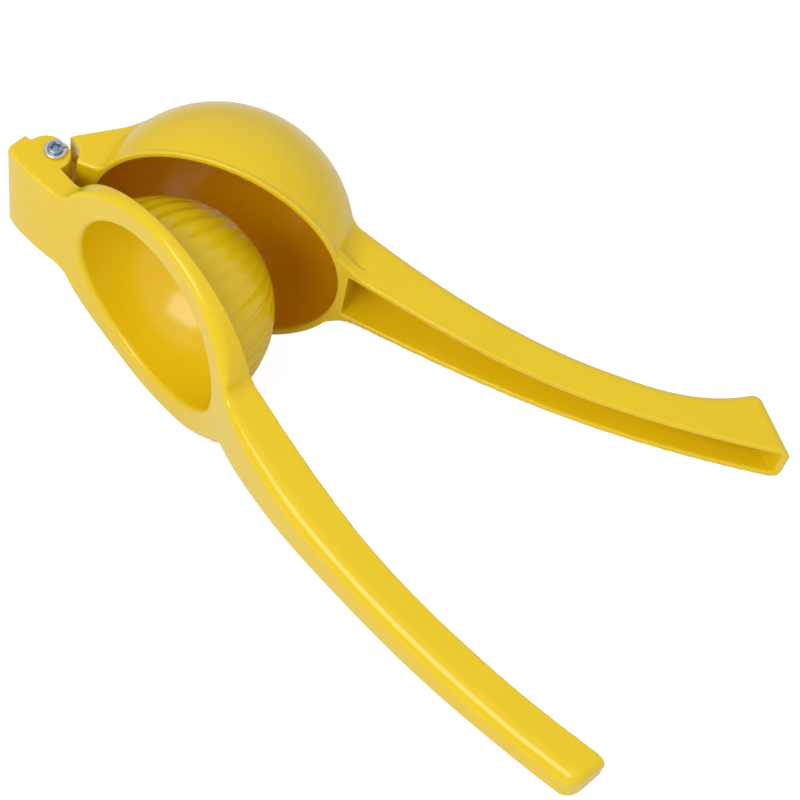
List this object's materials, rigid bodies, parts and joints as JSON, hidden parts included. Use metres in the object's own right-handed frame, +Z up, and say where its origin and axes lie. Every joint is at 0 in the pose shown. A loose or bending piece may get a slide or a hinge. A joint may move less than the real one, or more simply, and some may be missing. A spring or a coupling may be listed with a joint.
{
  "type": "lemon squeezer",
  "caption": "Hinged hand press for lemon halves: a fluted hollow press closes into a round bowl, with two curved channel handles, lying open on its side.",
  "frame": {"origin": "middle of the object's box, on the table that the open tool lies on", "axes": "+X from the hinge towards the handle tips, +Y towards the bowl arm, +Z up from the table"},
  "size_m": [0.2008, 0.1154, 0.0701],
  "materials": {
    "enamel": "gloss",
    "zinc_steel": "satin"
  },
  "bodies": {
    "press arm": {"press_arm": "enamel", "hinge_screw": "zinc_steel", "lock_washer": "zinc_steel", "hinge_nut": "zinc_steel"},
    "bowl arm": {"bowl_arm": "enamel"}
  },
  "joints": [
    {"name": "hinge", "type": "hinge", "parent": "press arm", "child": "bowl arm", "pos_m": [-0.08826, 0.00143, 0.04333], "axis": [0.199, 0, 0.98], "range_deg": [-28, 66]}
  ]
}
